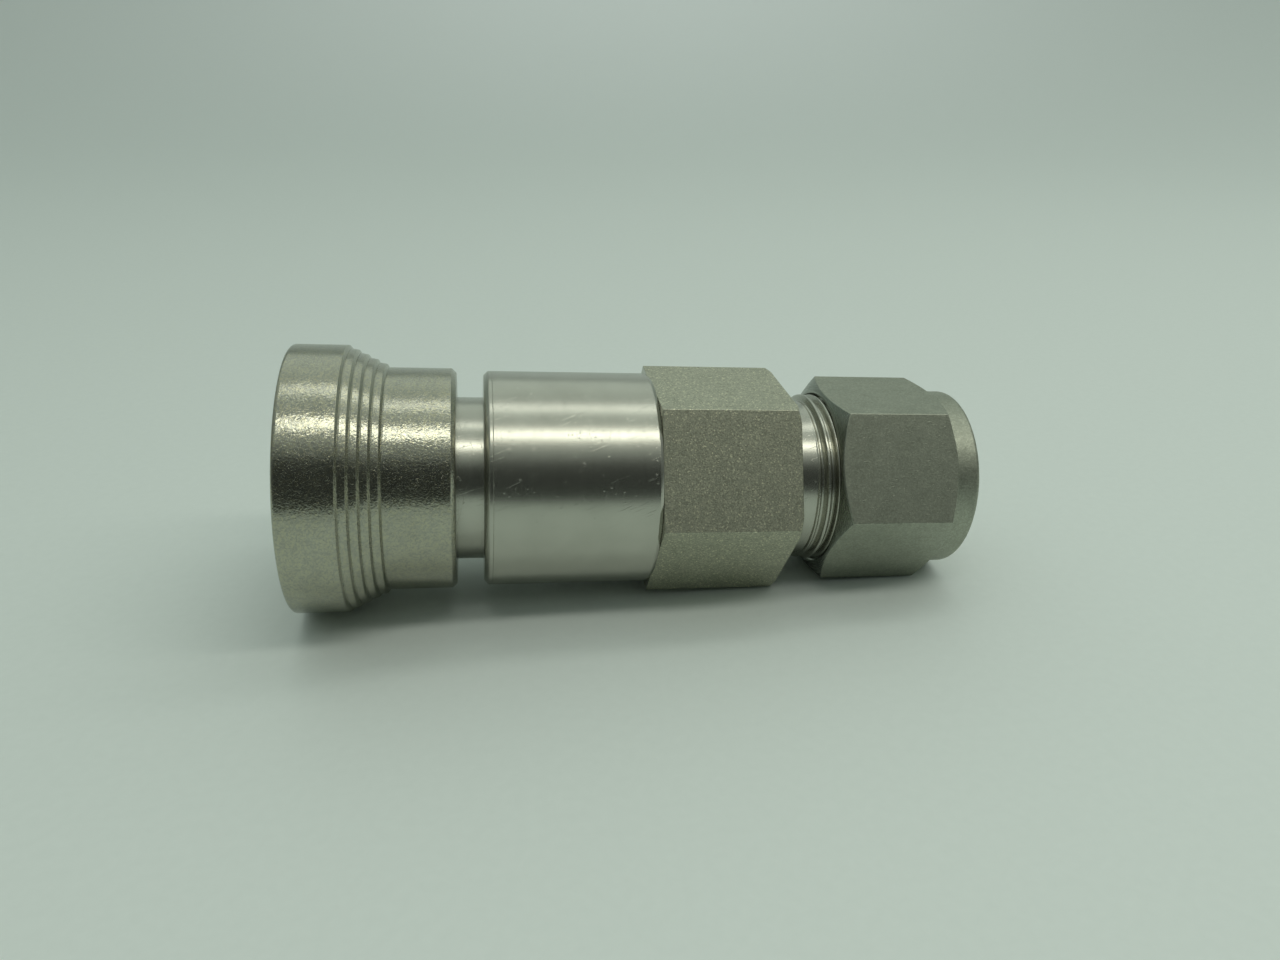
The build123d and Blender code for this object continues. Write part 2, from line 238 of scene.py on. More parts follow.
def turned(name, corners, columns):
    """A body of revolution from a closed outline with filleted corners."""
    outline = rounded(corners)
    angles = [2 * pi * column / columns for column in range(columns)]
    return skin(name, angles, [outline] * columns)


def tube_faces(rings, sides, flip=False):
    """Faces of a tube made of rings of vertices, with a cap at each end; flip turns them over."""
    faces = []
    for ring in range(rings - 1):
        here, there = ring * sides, (ring + 1) * sides
        for side in range(sides):
            after = (side + 1) % sides
            faces.append((here + side, here + after, there + after, there + side))
    last_ring = (rings - 1) * sides
    faces.append(tuple(reversed(range(sides))))
    faces.append(tuple(range(last_ring, last_ring + sides)))
    if flip:
        faces = [(face[0], *reversed(face[1:])) for face in faces]
    return faces


def hexagon_columns(apothem, edge_radius, clocking=0.0):
    """(angle, radius) round a hexagon with rounded corners, flats up and down."""
    flat_steps, edge_steps = 22, 5
    corner_centre = (apothem - edge_radius) / cos(radians(30))
    columns = []
    for side in range(6):
        corner = radians(60 * side)
        for step in range(edge_steps + 1):
            lean = radians(-30 + 60 * step / edge_steps)
            y = corner_centre + edge_radius * cos(lean)
            z = edge_radius * sin(lean)
            columns.append((corner + atan2(z, y) + clocking, hypot(y, z)))
        first = columns[-1][0] - clocking
        middle = corner + radians(30)
        half = middle - first
        for step in range(1, flat_steps):
            angle = middle + half * (2 * step / flat_steps - 1)
            columns.append((angle + clocking, apothem / cos(angle - middle)))
    return columns


def weigh_normals(piece):
    """Lets the wide faces set the normals, so that fillets don't bend the light on flats."""
    modifier = piece.modifiers.new("Normals", "WEIGHTED_NORMAL")
    modifier.weight = 100
    modifier.keep_sharp = True


def axis_distance(face):
    """How far the middle of a face is from the flow axis, in millimetres."""
    return hypot(face.center.y, face.center.z) / MM


def finish_piece(piece, body, node, slot, *materials):
    """Gives a piece its materials and its body, and hides the CAD node that it stands for."""
    for material in materials:
        piece.data.materials.append(material)
    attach(piece, body)
    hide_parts(node)


# ---------------------------------------------------------------- materials
def material_nodes(name):
    """A new material with its node tree, its Principled shader and object coordinates."""
    material = bpy.data.materials.new(name)
    material.use_nodes = True
    tree = material.node_tree
    shader = tree.nodes["Principled BSDF"]
    coordinates = tree.nodes.new("ShaderNodeTexCoord").outputs["Object"]
    return material, tree, shader, coordinates


def steel_nodes(name):
    """What material_nodes gives, with the shader set to bare metal."""
    material, tree, shader, coordinates = material_nodes(name)
    shader.inputs["Metallic"].default_value = 1.0
    return material, tree, shader, coordinates


def connect(tree, shader, colour, roughness, normal):
    """Feeds the shader its colour, roughness and normal."""
    tree.links.new(colour, shader.inputs["Base Color"])
    tree.links.new(roughness, shader.inputs["Roughness"])
    tree.links.new(normal, shader.inputs["Normal"])


def maths(tree, operation, first, second=0.0):
    """A Math node on a socket and either another socket or a constant."""
    node = tree.nodes.new("ShaderNodeMath")
    node.operation = operation
    tree.links.new(first, node.inputs[0])
    if isinstance(second, bpy.types.NodeSocket):
        tree.links.new(second, node.inputs[1])
    else:
        node.inputs[1].default_value = second
    return node.outputs["Value"]


def remap(tree, value, source, target):
    """A value moved from the source range to the target range, and held inside it."""
    node = tree.nodes.new("ShaderNodeMapRange")
    sockets = ("From Min", "From Max", "To Min", "To Max")
    for socket, number in zip(sockets, (*source, *target)):
        node.inputs[socket].default_value = number
    tree.links.new(value, node.inputs["Value"])
    return node.outputs["Result"]


def ramp(tree, value, *stops):
    """A colour ramp with (position, colour) stops."""
    node = tree.nodes.new("ShaderNodeValToRGB")
    elements = node.color_ramp.elements
    while len(elements) < len(stops):
        elements.new(0.5)
    for element, (position, colour) in zip(elements, stops):
        element.position = position
        element.color = (*colour, 1)
    tree.links.new(value, node.inputs["Fac"])
    return node.outputs["Color"]


def mixed(tree, factor, first, second, blend="MIX"):
    """Two colours mixed; factor, first and second are sockets or constants."""
    node = tree.nodes.new("ShaderNodeMix")
    node.data_type = "RGBA"
    node.blend_type = blend
    for socket, value in (("Factor", factor), ("A", first), ("B", second)):
        kind = "VALUE" if socket == "Factor" else "RGBA"
        target = next(s for s in node.inputs if s.name == socket and s.type == kind)
        if isinstance(value, bpy.types.NodeSocket):
            tree.links.new(value, target)
        elif socket == "Factor":
            target.default_value = value
        else:
            target.default_value = (*value, 1)
    return next(s for s in node.outputs if s.type == "RGBA")


def bump(tree, height, depth_mm, normal=None):
    """A bump of a given depth, on top of another one if given."""
    node = tree.nodes.new("ShaderNodeBump")
    node.inputs["Strength"].default_value = 1.0
    node.inputs["Distance"].default_value = depth_mm * MM
    tree.links.new(height, node.inputs["Height"])
    if normal is not None:
        tree.links.new(normal, node.inputs["Normal"])
    return node.outputs["Normal"]


def unrolled(tree, at, radius_mm):
    """The space round the flow axis laid out flat: X along it, Y round it, Z outwards.

    The seam is at the bottom, and Y is true to size at the given radius.
    """
    parts = tree.nodes.new("ShaderNodeSeparateXYZ")
    tree.links.new(at, parts.inputs["Vector"])
    across, up = parts.outputs["Y"], parts.outputs["Z"]
    angle = maths(tree, "ARCTAN2", across, up)
    across_squared = maths(tree, "MULTIPLY", across, across)
    up_squared = maths(tree, "MULTIPLY", up, up)
    distance = maths(tree, "SQRT", maths(tree, "ADD", across_squared, up_squared))
    flat = tree.nodes.new("ShaderNodeCombineXYZ")
    tree.links.new(parts.outputs["X"], flat.inputs["X"])
    tree.links.new(maths(tree, "MULTIPLY", angle, radius_mm * MM), flat.inputs["Y"])
    tree.links.new(distance, flat.inputs["Z"])
    return flat.outputs["Vector"]


def noise(tree, vector, size_mm, detail=2.0, roughness=0.55):
    """Noise between 0 and 1 with features of about size_mm."""
    node = tree.nodes.new("ShaderNodeTexNoise")
    node.inputs["Scale"].default_value = 1 / (size_mm * MM)
    node.inputs["Detail"].default_value = detail
    node.inputs["Roughness"].default_value = roughness
    tree.links.new(vector, node.inputs["Vector"])
    return node.outputs["Fac"]


def streaks(tree, vector, length_mm, width_mm, lean=0.0, detail=1.0):
    """Noise drawn out into streaks that lean, in degrees, from the X axis."""
    mapping = tree.nodes.new("ShaderNodeMapping")
    mapping.vector_type = "TEXTURE"
    mapping.inputs["Rotation"].default_value = (0, 0, radians(lean))
    mapping.inputs["Scale"].default_value = metre(length_mm, width_mm, width_mm)
    tree.links.new(vector, mapping.inputs["Vector"])
    node = tree.nodes.new("ShaderNodeTexNoise")
    node.inputs["Scale"].default_value = 1.0
    node.inputs["Detail"].default_value = detail
    tree.links.new(mapping.outputs["Vector"], node.inputs["Vector"])
    return node.outputs["Fac"]


def crystals(tree, vector, size_mm):
    """A random value between 0 and 1 for every small cell of the surface."""
    cells = tree.nodes.new("ShaderNodeTexVoronoi")
    cells.inputs["Scale"].default_value = 1 / (size_mm * MM)
    tree.links.new(vector, cells.inputs["Vector"])
    chance = tree.nodes.new("ShaderNodeSeparateColor")
    tree.links.new(cells.outputs["Color"], chance.inputs["Color"])
    return chance.outputs["Red"]


def strokes(tree, vector, cell_mm, length_mm, width_mm, spread):
    """Short streaks that lean their own way in each cell, up to spread degrees from X."""
    lean_range = (-radians(spread), radians(spread))
    lean = remap(tree, crystals(tree, vector, cell_mm), (0.0, 1.0), lean_range)
    rotate = tree.nodes.new("ShaderNodeVectorRotate")
    rotate.rotation_type = "Z_AXIS"
    tree.links.new(vector, rotate.inputs["Vector"])
    tree.links.new(lean, rotate.inputs["Angle"])
    return streaks(tree, rotate.outputs["Vector"], length_mm, width_mm)


def tumbled_steel():
    """Bright stainless, tumbled: covered all over in short fine scratches that glitter, with
    painted glints in its colour too.
    """
    material, tree, shader, at = steel_nodes("tumbled_steel")
    flat = unrolled(tree, at, sleeve_radius)
    cloud = noise(tree, at, size_mm=3.0, detail=4.0, roughness=0.65)
    colour = ramp(tree, cloud, (0.30, (0.385, 0.385, 0.315)), (0.70, (0.445, 0.445, 0.365)))
    # Painted glints: random stroke cells up to 13% lighter and warmer, or darker and cooler, in the
    # base colour, standing in for glitter of light.
    painted_glint_strokes = strokes(tree, flat, cell_mm=0.30, length_mm=0.6, width_mm=0.22, spread=80)
    painted_glints = ramp(tree, painted_glint_strokes, (0.36, (0.87, 0.88, 0.91)), (0.5, (1, 1, 1)),
                  (0.64, (1.13, 1.10, 1.00)))
    normal = bump(tree, noise(tree, at, size_mm=0.16), depth_mm=0.006)
    scratches = (                # cell, length, width and depth, in millimetres
        (0.30, 0.60, 0.25, 0.020),
        (0.50, 1.00, 0.28, 0.012),
    )
    for cell_mm, length_mm, width_mm, depth_mm in scratches:
        marks = strokes(tree, flat, cell_mm, length_mm, width_mm, spread=60)
        normal = bump(tree, marks, depth_mm, normal)
    connect(tree, shader, mixed(tree, 1.0, colour, painted_glints, "MULTIPLY"),
            remap(tree, cloud, (0.3, 0.7), (0.16, 0.22)), normal)
    return material


def polished_steel():
    """Smooth turned stainless with very fine lines round the axis, scratches and dents."""
    material, tree, shader, at = steel_nodes("polished_steel")
    flat = unrolled(tree, at, collar_radius)
    cloud = noise(tree, at, size_mm=4.0, detail=3.0)
    lines = streaks(tree, flat, length_mm=9.0, width_mm=0.10, lean=90, detail=3.0)
    colour = ramp(tree, cloud, (0.30, (0.46, 0.46, 0.40)), (0.72, (0.51, 0.51, 0.445)))
    normal = bump(tree, lines, depth_mm=0.0022)
    for lean in (80, 104, 24):
        marks = streaks(tree, flat, length_mm=4.0, width_mm=0.15, lean=lean, detail=2.0)
        scratches = remap(tree, marks, (0.68, 0.76), (0.0, 1.0))
        normal = bump(tree, scratches, 0.006, normal)
    spots = noise(tree, at, size_mm=0.42, detail=0.0)
    dents = remap(tree, spots, (0.775, 0.82), (0.0, 1.0))
    normal = bump(tree, dents, 0.012, normal)
    connect(tree, shader, colour, remap(tree, lines, (0.3, 0.7), (0.235, 0.27)), normal)
    return material


def matte_steel():
    """Gritty, matte stainless flats with a fine painted sparkle in their colour."""
    material, tree, shader, at = steel_nodes("matte_steel")
    grit = noise(tree, at, size_mm=0.15, roughness=0.7)
    blotch = noise(tree, at, size_mm=1.6, detail=4.0, roughness=0.7)
    colour = ramp(tree, blotch, (0.30, (0.435, 0.44, 0.35)), (0.72, (0.495, 0.50, 0.40)))
    # Painted sparkle: tiny random cells go down to 0.74 or up to 1.8 times the colour, and the
    # brightest stand in for glints of light.
    painted_sparkle = ramp(tree, crystals(tree, at, size_mm=0.13),
                   (0.0, (0.74, 0.74, 0.73)), (0.5, (1.0, 1.0, 0.99)),
                   (0.9, (1.2, 1.2, 1.17)), (1.0, (1.8, 1.75, 1.65)))
    connect(tree, shader, mixed(tree, 1.0, colour, painted_sparkle, "MULTIPLY"),
            remap(tree, grit, (0.35, 0.65), (0.52, 0.40)), bump(tree, grit, depth_mm=0.030))
    return material


def dark_steel():
    """Dark grey stainless, satin, with a fine grain and faint handling marks."""
    material, tree, shader, at = steel_nodes("dark_steel")
    grain = noise(tree, at, size_mm=0.18, roughness=0.6)
    blotch = noise(tree, at, size_mm=2.2, detail=5.0, roughness=0.7)
    colour = ramp(tree, blotch, (0.28, (0.34, 0.36, 0.295)), (0.74, (0.41, 0.43, 0.355)))
    specks = ramp(tree, crystals(tree, at, size_mm=0.16),
                  (0.0, (0.88, 0.88, 0.87)), (0.6, (1, 1, 1)), (1.0, (1.16, 1.16, 1.14)))
    normal = bump(tree, grain, depth_mm=0.010)
    for lean in (12, 68, -50):
        marks = streaks(tree, at, length_mm=3.0, width_mm=0.16, lean=lean)
        scratches = remap(tree, marks, (0.66, 0.80), (0.0, 1.0))
        normal = bump(tree, scratches, 0.008, normal)
    connect(tree, shader, mixed(tree, 1.0, colour, specks, "MULTIPLY"),
            remap(tree, grain, (0.3, 0.7), (0.44, 0.52)), normal)
    return material


def machined_steel(name, low, high):
    """Turned stainless with fine lines round the axis, on end faces too."""
    material, tree, shader, at = steel_nodes(name)
    flat = unrolled(tree, at, nut_face_radius)
    lines = streaks(tree, flat, length_mm=9.0, width_mm=0.14, lean=90, detail=3.0)
    cloud = noise(tree, at, size_mm=1.8, detail=3.0)
    connect(tree, shader, ramp(tree, cloud, (0.30, low), (0.70, high)),
            remap(tree, lines, (0.3, 0.7), (0.22, 0.32)), bump(tree, lines, depth_mm=0.004))
    return material


def plain_steel(name, low, high, roughness, lined=True):
    """Fine stainless for inner pieces, with turning lines round the axis or just a grain."""
    material, tree, shader, at = steel_nodes(name)
    cloud = noise(tree, at, size_mm=2.5, detail=3.0)
    if lined:
        flat = unrolled(tree, at, stem_bore_radius)
        marks = streaks(tree, flat, length_mm=8.0, width_mm=0.12, lean=90, detail=2.0)
    else:
        marks = noise(tree, at, size_mm=0.4)
    connect(tree, shader, ramp(tree, cloud, (0.3, low), (0.7, high)),
            remap(tree, marks, (0.3, 0.7), (roughness, roughness + 0.1)),
            bump(tree, marks, depth_mm=0.0018))
    return material


def soft_material(name, low, high, roughness, grain_mm):
    """Rubber or PTFE with a fine grain."""
    material, tree, shader, at = material_nodes(name)
    grain = noise(tree, at, grain_mm, detail=3.0, roughness=0.6)
    connect(tree, shader, ramp(tree, grain, (0.3, low), (0.7, high)),
            remap(tree, grain, (0.3, 0.7), (roughness, roughness + 0.12)),
            bump(tree, grain, depth_mm=0.008))
    return material


tumbled = tumbled_steel()
polished = polished_steel()
matte = matte_steel()
dark = dark_steel()
# A turned finish for the nut's front face and chamfer, darker than dark_steel: a smoother finish,
# with painted shade in its colour.
nut_front_shaded_steel = machined_steel(
    "nut_front_shaded_steel", (0.27, 0.29, 0.25), (0.32, 0.34, 0.29))
sleeve_mouth_steel = machined_steel(
    "sleeve_mouth_steel", (0.36, 0.36, 0.30), (0.42, 0.42, 0.35))
spring_wire = plain_steel(
    "spring_steel", (0.40, 0.40, 0.37), (0.49, 0.49, 0.45), roughness=0.28, lined=False)
turned_steel = plain_steel(
    "turned_steel", (0.56, 0.55, 0.53), (0.66, 0.65, 0.63), roughness=0.2)
ball_steel = plain_steel(
    "ball_steel", (0.70, 0.70, 0.70), (0.78, 0.78, 0.78), roughness=0.06, lined=False)
ferrule_steel = plain_steel(
    "ferrule_steel", (0.55, 0.54, 0.52), (0.64, 0.63, 0.61), roughness=0.22)
seal_rubber = soft_material(
    "seal_rubber", (0.020, 0.018, 0.016), (0.045, 0.042, 0.038), roughness=0.42, grain_mm=0.35)
white_ptfe = soft_material(
    "white_ptfe", (0.74, 0.73, 0.70), (0.84, 0.83, 0.80), roughness=0.35, grain_mm=0.6)


# ---------------------------------------------------------------- lock sleeve
def rib_corners():
    """The grip cone: rib_count steps down from the flare to the sleeve."""
    fall = (flare_radius - sleeve_radius) - rib_count * (rib_riser_drop - rib_lip_rise)
    land_fall = fall / (rib_count - 1)
    radius = flare_radius
    corners = []
    for rib in range(rib_count):
        x = flare_length + rib * rib_pitch
        corners += [
            (x, radius, 0.07),
            (x + rib_riser_run, radius - rib_riser_drop, 0.03),
            (x + rib_riser_run + rib_lip_run, radius - rib_riser_drop + rib_lip_rise, 0.05),
        ]
        radius -= rib_riser_drop - rib_lip_rise + land_fall
    return corners


def make_sleeve():
    """The lock sleeve: tumbled steel outside, machined inside and on the edge of its mouth."""
    edge = 0.5
    margin = 0.1
    sleeve = turned("sleeve_shell", [
        (0, mouth_radius + edge, 0.1),
        (0, flare_radius, 0.45),
        *rib_corners(),
        (sleeve_length - edge, sleeve_radius, 0.12),
        (sleeve_length, sleeve_radius - edge, 0.12),
        (sleeve_length, guide_radius + running_gap, 0.08),
        (spring_shoulder_x, guide_radius + running_gap, 0.0),
        (spring_shoulder_x, barrel_radius + running_gap, 0.08),
        (land_end_x, barrel_radius + running_gap, 0.08),
        (land_end_x, land_radius, 0.0),
        (ball_x, land_radius, 0.0),
        (stop_face_x, land_radius + cam_slope * (ball_x - stop_face_x), 0.05),
        (stop_face_x, ring_pocket_radius, 0.1),
        (mouth_depth, mouth_radius, 0.15),
        (edge, mouth_radius, 0.1),
    ], columns=320)
    weigh_normals(sleeve)
    finish_piece(sleeve, "lock_sleeve", "lock_sleeve", "tumbled_steel", tumbled, sleeve_mouth_steel)
    for face in sleeve.data.polygons:
        radius = axis_distance(face)
        on_mouth_edge = face.center.x / MM < edge and radius < mouth_radius + edge
        if on_mouth_edge or radius < mouth_radius + margin:
            face.material_index = 1


make_sleeve()


# ---------------------------------------------------------------- coupling body
def drill(angle):
    """The stepped drill shape of one ball hole, pointing outwards at an angle round the axis."""
    overshoot = 1.0
    sides = 40
    rings = [                    # distance from the flow axis, radius of the hole
        (stem_bore_radius - overshoot, ball_lip_radius),
        (stem_bore_radius, ball_lip_radius),
        (stem_bore_radius + ball_lip_height, ball_hole_radius),
        (barrel_radius + overshoot, ball_hole_radius),
    ]
    vertices = []
    for out, radius in rings:
        for side in range(sides):
            turn = 2 * pi * side / sides
            across, along = radius * cos(turn), radius * sin(turn)
            vertices.append((
                ball_x + along,
                out * cos(angle) - across * sin(angle),
                out * sin(angle) + across * cos(angle),
            ))
    return vertices, tube_faces(len(rings), sides)


def make_body():
    """The barrel with its stepped ball holes, and the collar behind it."""
    edge = 0.4
    sharp_angle = radians(38)
    body = turned("body_barrel", [
        (barrel_face_x, stem_bore_radius + edge, 0.1),
        (barrel_face_x, barrel_radius, 0.35),
        (ring_groove[0], barrel_radius, 0.05),
        (ring_groove[0], ring_groove[2], 0.05),
        (ring_groove[1], ring_groove[2], 0.05),
        (ring_groove[1], barrel_radius, 0.05),
        (barrel_step_x, barrel_radius, 0.0),
        (barrel_step_x, guide_radius, 0.35),
        (collar_front_x, guide_radius, 0.12),
        (collar_front_x, collar_radius - collar_chamfer, 0.12),
        (collar_front_x + collar_chamfer, collar_radius, 0.15),
        (collar_line_x, collar_radius, 0.02),
        (collar_line_x + collar_line, collar_radius - collar_line, 0.02),
        (collar_line_x + 2 * collar_line, collar_radius, 0.02),
        (collar_back_x - edge, collar_radius, 0.08),
        (collar_back_x, collar_radius - edge / 2, 0.08),
        (collar_back_x, joint_bore_radius, 0.1),
        (joint_bore_x, joint_bore_radius, 0.0),
        (joint_bore_x, cavity_radius, 0.0),
        (seat_x + seat_depth, cavity_radius, 0.3),
        (seat_x + seat_depth, orifice_radius + seat_depth, 0.1),
        (seat_x, orifice_radius, 0.1),
        (stem_bore_floor_x, orifice_radius, 0.1),
        (stem_bore_floor_x, stem_bore_radius, 0.1),
        (seal_groove[1], stem_bore_radius, 0.06),
        (seal_groove[1], seal_groove[2], 0.06),
        (seal_groove[0], seal_groove[2], 0.06),
        (seal_groove[0], stem_bore_radius, 0.06),
        (ball_relief[1], stem_bore_radius, 0.0),
        (ball_relief[1], ball_relief[2], 0.0),
        (ball_relief[0], ball_relief[2], 0.0),
        (ball_relief[0], stem_bore_radius, 0.0),
        (barrel_face_x + stem_bore_lead_in, stem_bore_radius, 0.15),
    ], columns=288)
    vertices, faces = [], []
    for ball in range(ball_count):
        more_vertices, more_faces = drill(2 * pi * (ball + 0.5) / ball_count)
        faces += [tuple(index + len(vertices) for index in face) for face in more_faces]
        vertices += more_vertices
    drills = make_object("ball_drills", vertices, faces, smooth=False)
    cut = body.modifiers.new("Ball holes", "BOOLEAN")
    cut.operation = "DIFFERENCE"
    cut.solver = "EXACT"
    cut.object = drills
    bpy.context.view_layer.update()
    cut_body = body.evaluated_get(bpy.context.evaluated_depsgraph_get())
    shape = bpy.data.meshes.new_from_object(cut_body)
    body.modifiers.clear()
    body.data = shape
    bpy.data.objects.remove(drills)
    shape.set_sharp_from_angle(angle=sharp_angle)
    weigh_normals(body)
    finish_piece(body, "coupling_body", "coupling_body", "polished_steel", polished)


make_body()


# ---------------------------------------------------------------- tube connector
def thread_height(phase):
    """How far a 60 degree thread stands above its root, from 0 to 1, over one turn of phase."""
    flank = thread_depth * tan(radians(30)) / thread_pitch
    crest = (1 - 2 * flank) / 2
    phase = phase % 1.0
    if phase < flank:
        height = phase / flank
    elif phase < flank + crest:
        height = 1.0
    elif phase < 2 * flank + crest:
        height = 1.0 - (phase - flank - crest) / flank
    else:
        height = 0.0
    return eased(height)


def neck_rows(angle):
    """The threaded neck at one angle round the axis, as outline corners from front to back."""
    row_step, run_in_start, run_in_length = 0.07, 0.1, 0.5
    root = thread_radius - thread_depth
    threaded = connector_back_x - thread_start_x
    rows = ceil(threaded / row_step)
    corners = []
    for row in range(rows + 1):
        x = thread_start_x - thread_lead_in + (threaded + thread_lead_in) * (row / rows)
        turns = (x - thread_start_x) / thread_pitch - angle / (2 * pi)
        run_in = held((x - thread_start_x + run_in_start) / run_in_length)
        run_out = held((connector_back_x - x) / thread_lead_in)
        height = thread_height(turns) * run_out
        low = neck_radius + (root - neck_radius) * run_in
        corners.append((x, low + (thread_radius - low) * height * run_in, 0.0))
    return corners


def make_connector():
    """The hexagon with its spigot in front and its threaded neck behind."""
    cone_x = connector_back_x - ferrule_cone_length
    cone_mouth_radius = tube_bore_radius + ferrule_cone_length * tan(ferrule_cone_angle)
    angles, outlines = [], []
    for angle, radius in hexagon_columns(hex_apothem, hex_edge, hex_clocking):
        if radius > hex_corner_face_radius:
            chamfer_x = hex_back_x - (radius - hex_corner_face_radius) * hex_chamfer_slope
            chamfer_radius = hex_corner_face_radius
        else:
            chamfer_x = hex_back_x - hex_edge
            chamfer_radius = radius - hex_edge
        angles.append(angle)
        outlines.append(rounded([
            (connector_front_x, guide_pocket_radius, 0.1),
            (connector_front_x, spigot_radius, 0.4),
            (body_seal_groove[0], spigot_radius, 0.05),
            (body_seal_groove[0], body_seal_groove[2], 0.05),
            (body_seal_groove[1], body_seal_groove[2], 0.05),
            (body_seal_groove[1], spigot_radius, 0.05),
            (hex_front_x, spigot_radius, 0.0),
            (hex_front_x, radius, 0.10),
            (chamfer_x, radius, 0.10),
            (hex_back_x, chamfer_radius, 0.08),
            (hex_back_x, neck_radius, 0.25),
            *neck_rows(angle),
            (connector_back_x, cone_mouth_radius, 0.1),
            (cone_x, tube_bore_radius, 0.1),
            (tube_stop_x, tube_bore_radius, 0.0),
            (tube_stop_x, flow_bore_radius, 0.1),
            (guide_pocket_floor_x, flow_bore_radius, 0.1),
            (guide_pocket_floor_x, guide_pocket_radius, 0.0),
        ]))
    connector = skin("connector_hex", angles, outlines)
    weigh_normals(connector)
    finish_piece(connector, "coupling_body", "tube_connector", "matte_steel", matte, polished)
    margin, face_rim = 0.02, 0.5
    for face in connector.data.polygons:
        x = face.center.x / MM
        radius = axis_distance(face)
        in_front = x < hex_front_x + margin
        on_neck = x > hex_back_x - margin and radius < hex_apothem - face_rim
        inside = radius < neck_radius
        if in_front or on_neck or inside:
            face.material_index = 1


make_connector()


# ---------------------------------------------------------------- tube nut
def make_nut():
    """The compression nut: chamfered in front, with corners falling to a round neck behind."""
    corner_radius = nut_apothem / cos(radians(30))
    front_slope = nut_chamfer_length / (corner_radius - nut_face_radius)
    angles, outlines = [], []
    for angle, radius in hexagon_columns(nut_apothem, nut_edge):
        front_x = nut_front_x + (radius - nut_face_radius) * front_slope
        back_x = nut_flats_end_x - (radius - nut_neck_radius) * hex_chamfer_slope
        angles.append(angle)
        outlines.append(rounded([
            (nut_front_x, nut_thread_bore + nut_thread_edge, 0.05),
            (nut_front_x, nut_face_radius, 0.12),
            (front_x, radius, 0.25),
            (back_x, radius, 0.20),
            (nut_flats_end_x, nut_neck_radius, 0.10),
            (overall_length, nut_neck_radius, 0.60),
            (overall_length, nut_hole_radius, 0.35),
            (nut_shoulder_x, nut_hole_radius, 0.1),
            (nut_shoulder_x, nut_pocket_radius, 0.2),
            (nut_pocket_x, nut_pocket_radius, 0.1),
            (nut_pocket_x, nut_thread_bore, 0.1),
            (nut_front_x + nut_thread_edge, nut_thread_bore, 0.05),
        ], steps=4))
    nut = skin("compression_nut", angles, outlines)
    weigh_normals(nut)
    finish_piece(nut, "tube_nut", "tube_nut", "dark_steel", dark, nut_front_shaded_steel)
    # The front face and chamfer take the darker turned steel: a smoother finish, and painted shade.
    margin, least_facing = 0.2, 0.6
    chamfer_back_x = nut_front_x + nut_chamfer_length + margin
    for face in nut.data.polygons:
        faces_along = abs(face.normal.x) > least_facing
        if faces_along and face.center.x / MM < chamfer_back_x:
            face.material_index = 1


make_nut()


# ---------------------------------------------------------------- springs
def make_spring(name, node, wire_diameter, turns):
    """A compression spring coiled over the length of its CAD node, between the body behind it and
    the body in front.
    """
    low, high = box_mm(node)
    wire_radius = wire_diameter / 2
    mean_radius = high.z - wire_radius
    sides, steps_per_turn = 16, 72
    steps = ceil(turns * steps_per_turn)
    start_x, end_x = low.x + wire_radius, high.x - wire_radius
    vertices = []
    for step in range(steps + 1):
        share = step / steps
        angle = 2 * pi * turns * share
        x = start_x + (end_x - start_x) * share
        for side in range(sides):
            turn = 2 * pi * side / sides
            radius = mean_radius + wire_radius * cos(turn)
            along = x + wire_radius * sin(turn)
            vertices.append((along, radius * cos(angle), radius * sin(angle)))
    spring = make_object(name, vertices, tube_faces(steps + 1, sides, flip=True))
    spring.data.materials.append(spring_wire)
    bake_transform(spring)
    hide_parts(node)


make_spring("sleeve_return_spring", "sleeve_spring", 0.9, 3.2)
make_spring("poppet_return_spring", "poppet_spring", 0.8, 4.8)


# ---------------------------------------------------------------- CAD nodes that stay
kept_nodes = {
    "sleeve_retaining_ring": spring_wire,
    "valve_poppet": turned_steel,
    "poppet_guide": turned_steel,
    "front_ferrule": ferrule_steel,
    "back_ferrule": ferrule_steel,
    "stem_seal": seal_rubber,
    "body_seal": seal_rubber,
    "poppet_seal": seal_rubber,
    "stem_backup_ring": white_ptfe,
    **{f"lock_ball_{number}": ball_steel for number in range(1, ball_count + 1)},
}
for node, material in kept_nodes.items():
    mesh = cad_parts[node].data
    mesh.materials.clear()
    mesh.materials.append(material)


# ---------------------------------------------------------------- floor
# The coupling lies on the flare's back edge and on the back of the nut's lower flat, so in the
# frame of the model the floor rises slightly towards the tube end.
rest_front = Vector((flare_length, 0, -flare_radius))
rest_back_x = nut_flats_end_x - (nut_apothem - nut_neck_radius) * hex_chamfer_slope
rest_back = Vector((rest_back_x, 0, -nut_apothem))
floor_tilt = atan2(rest_back.z - rest_front.z, rest_back.x - rest_front.x)
floor_middle = (rest_front + rest_back) / 2


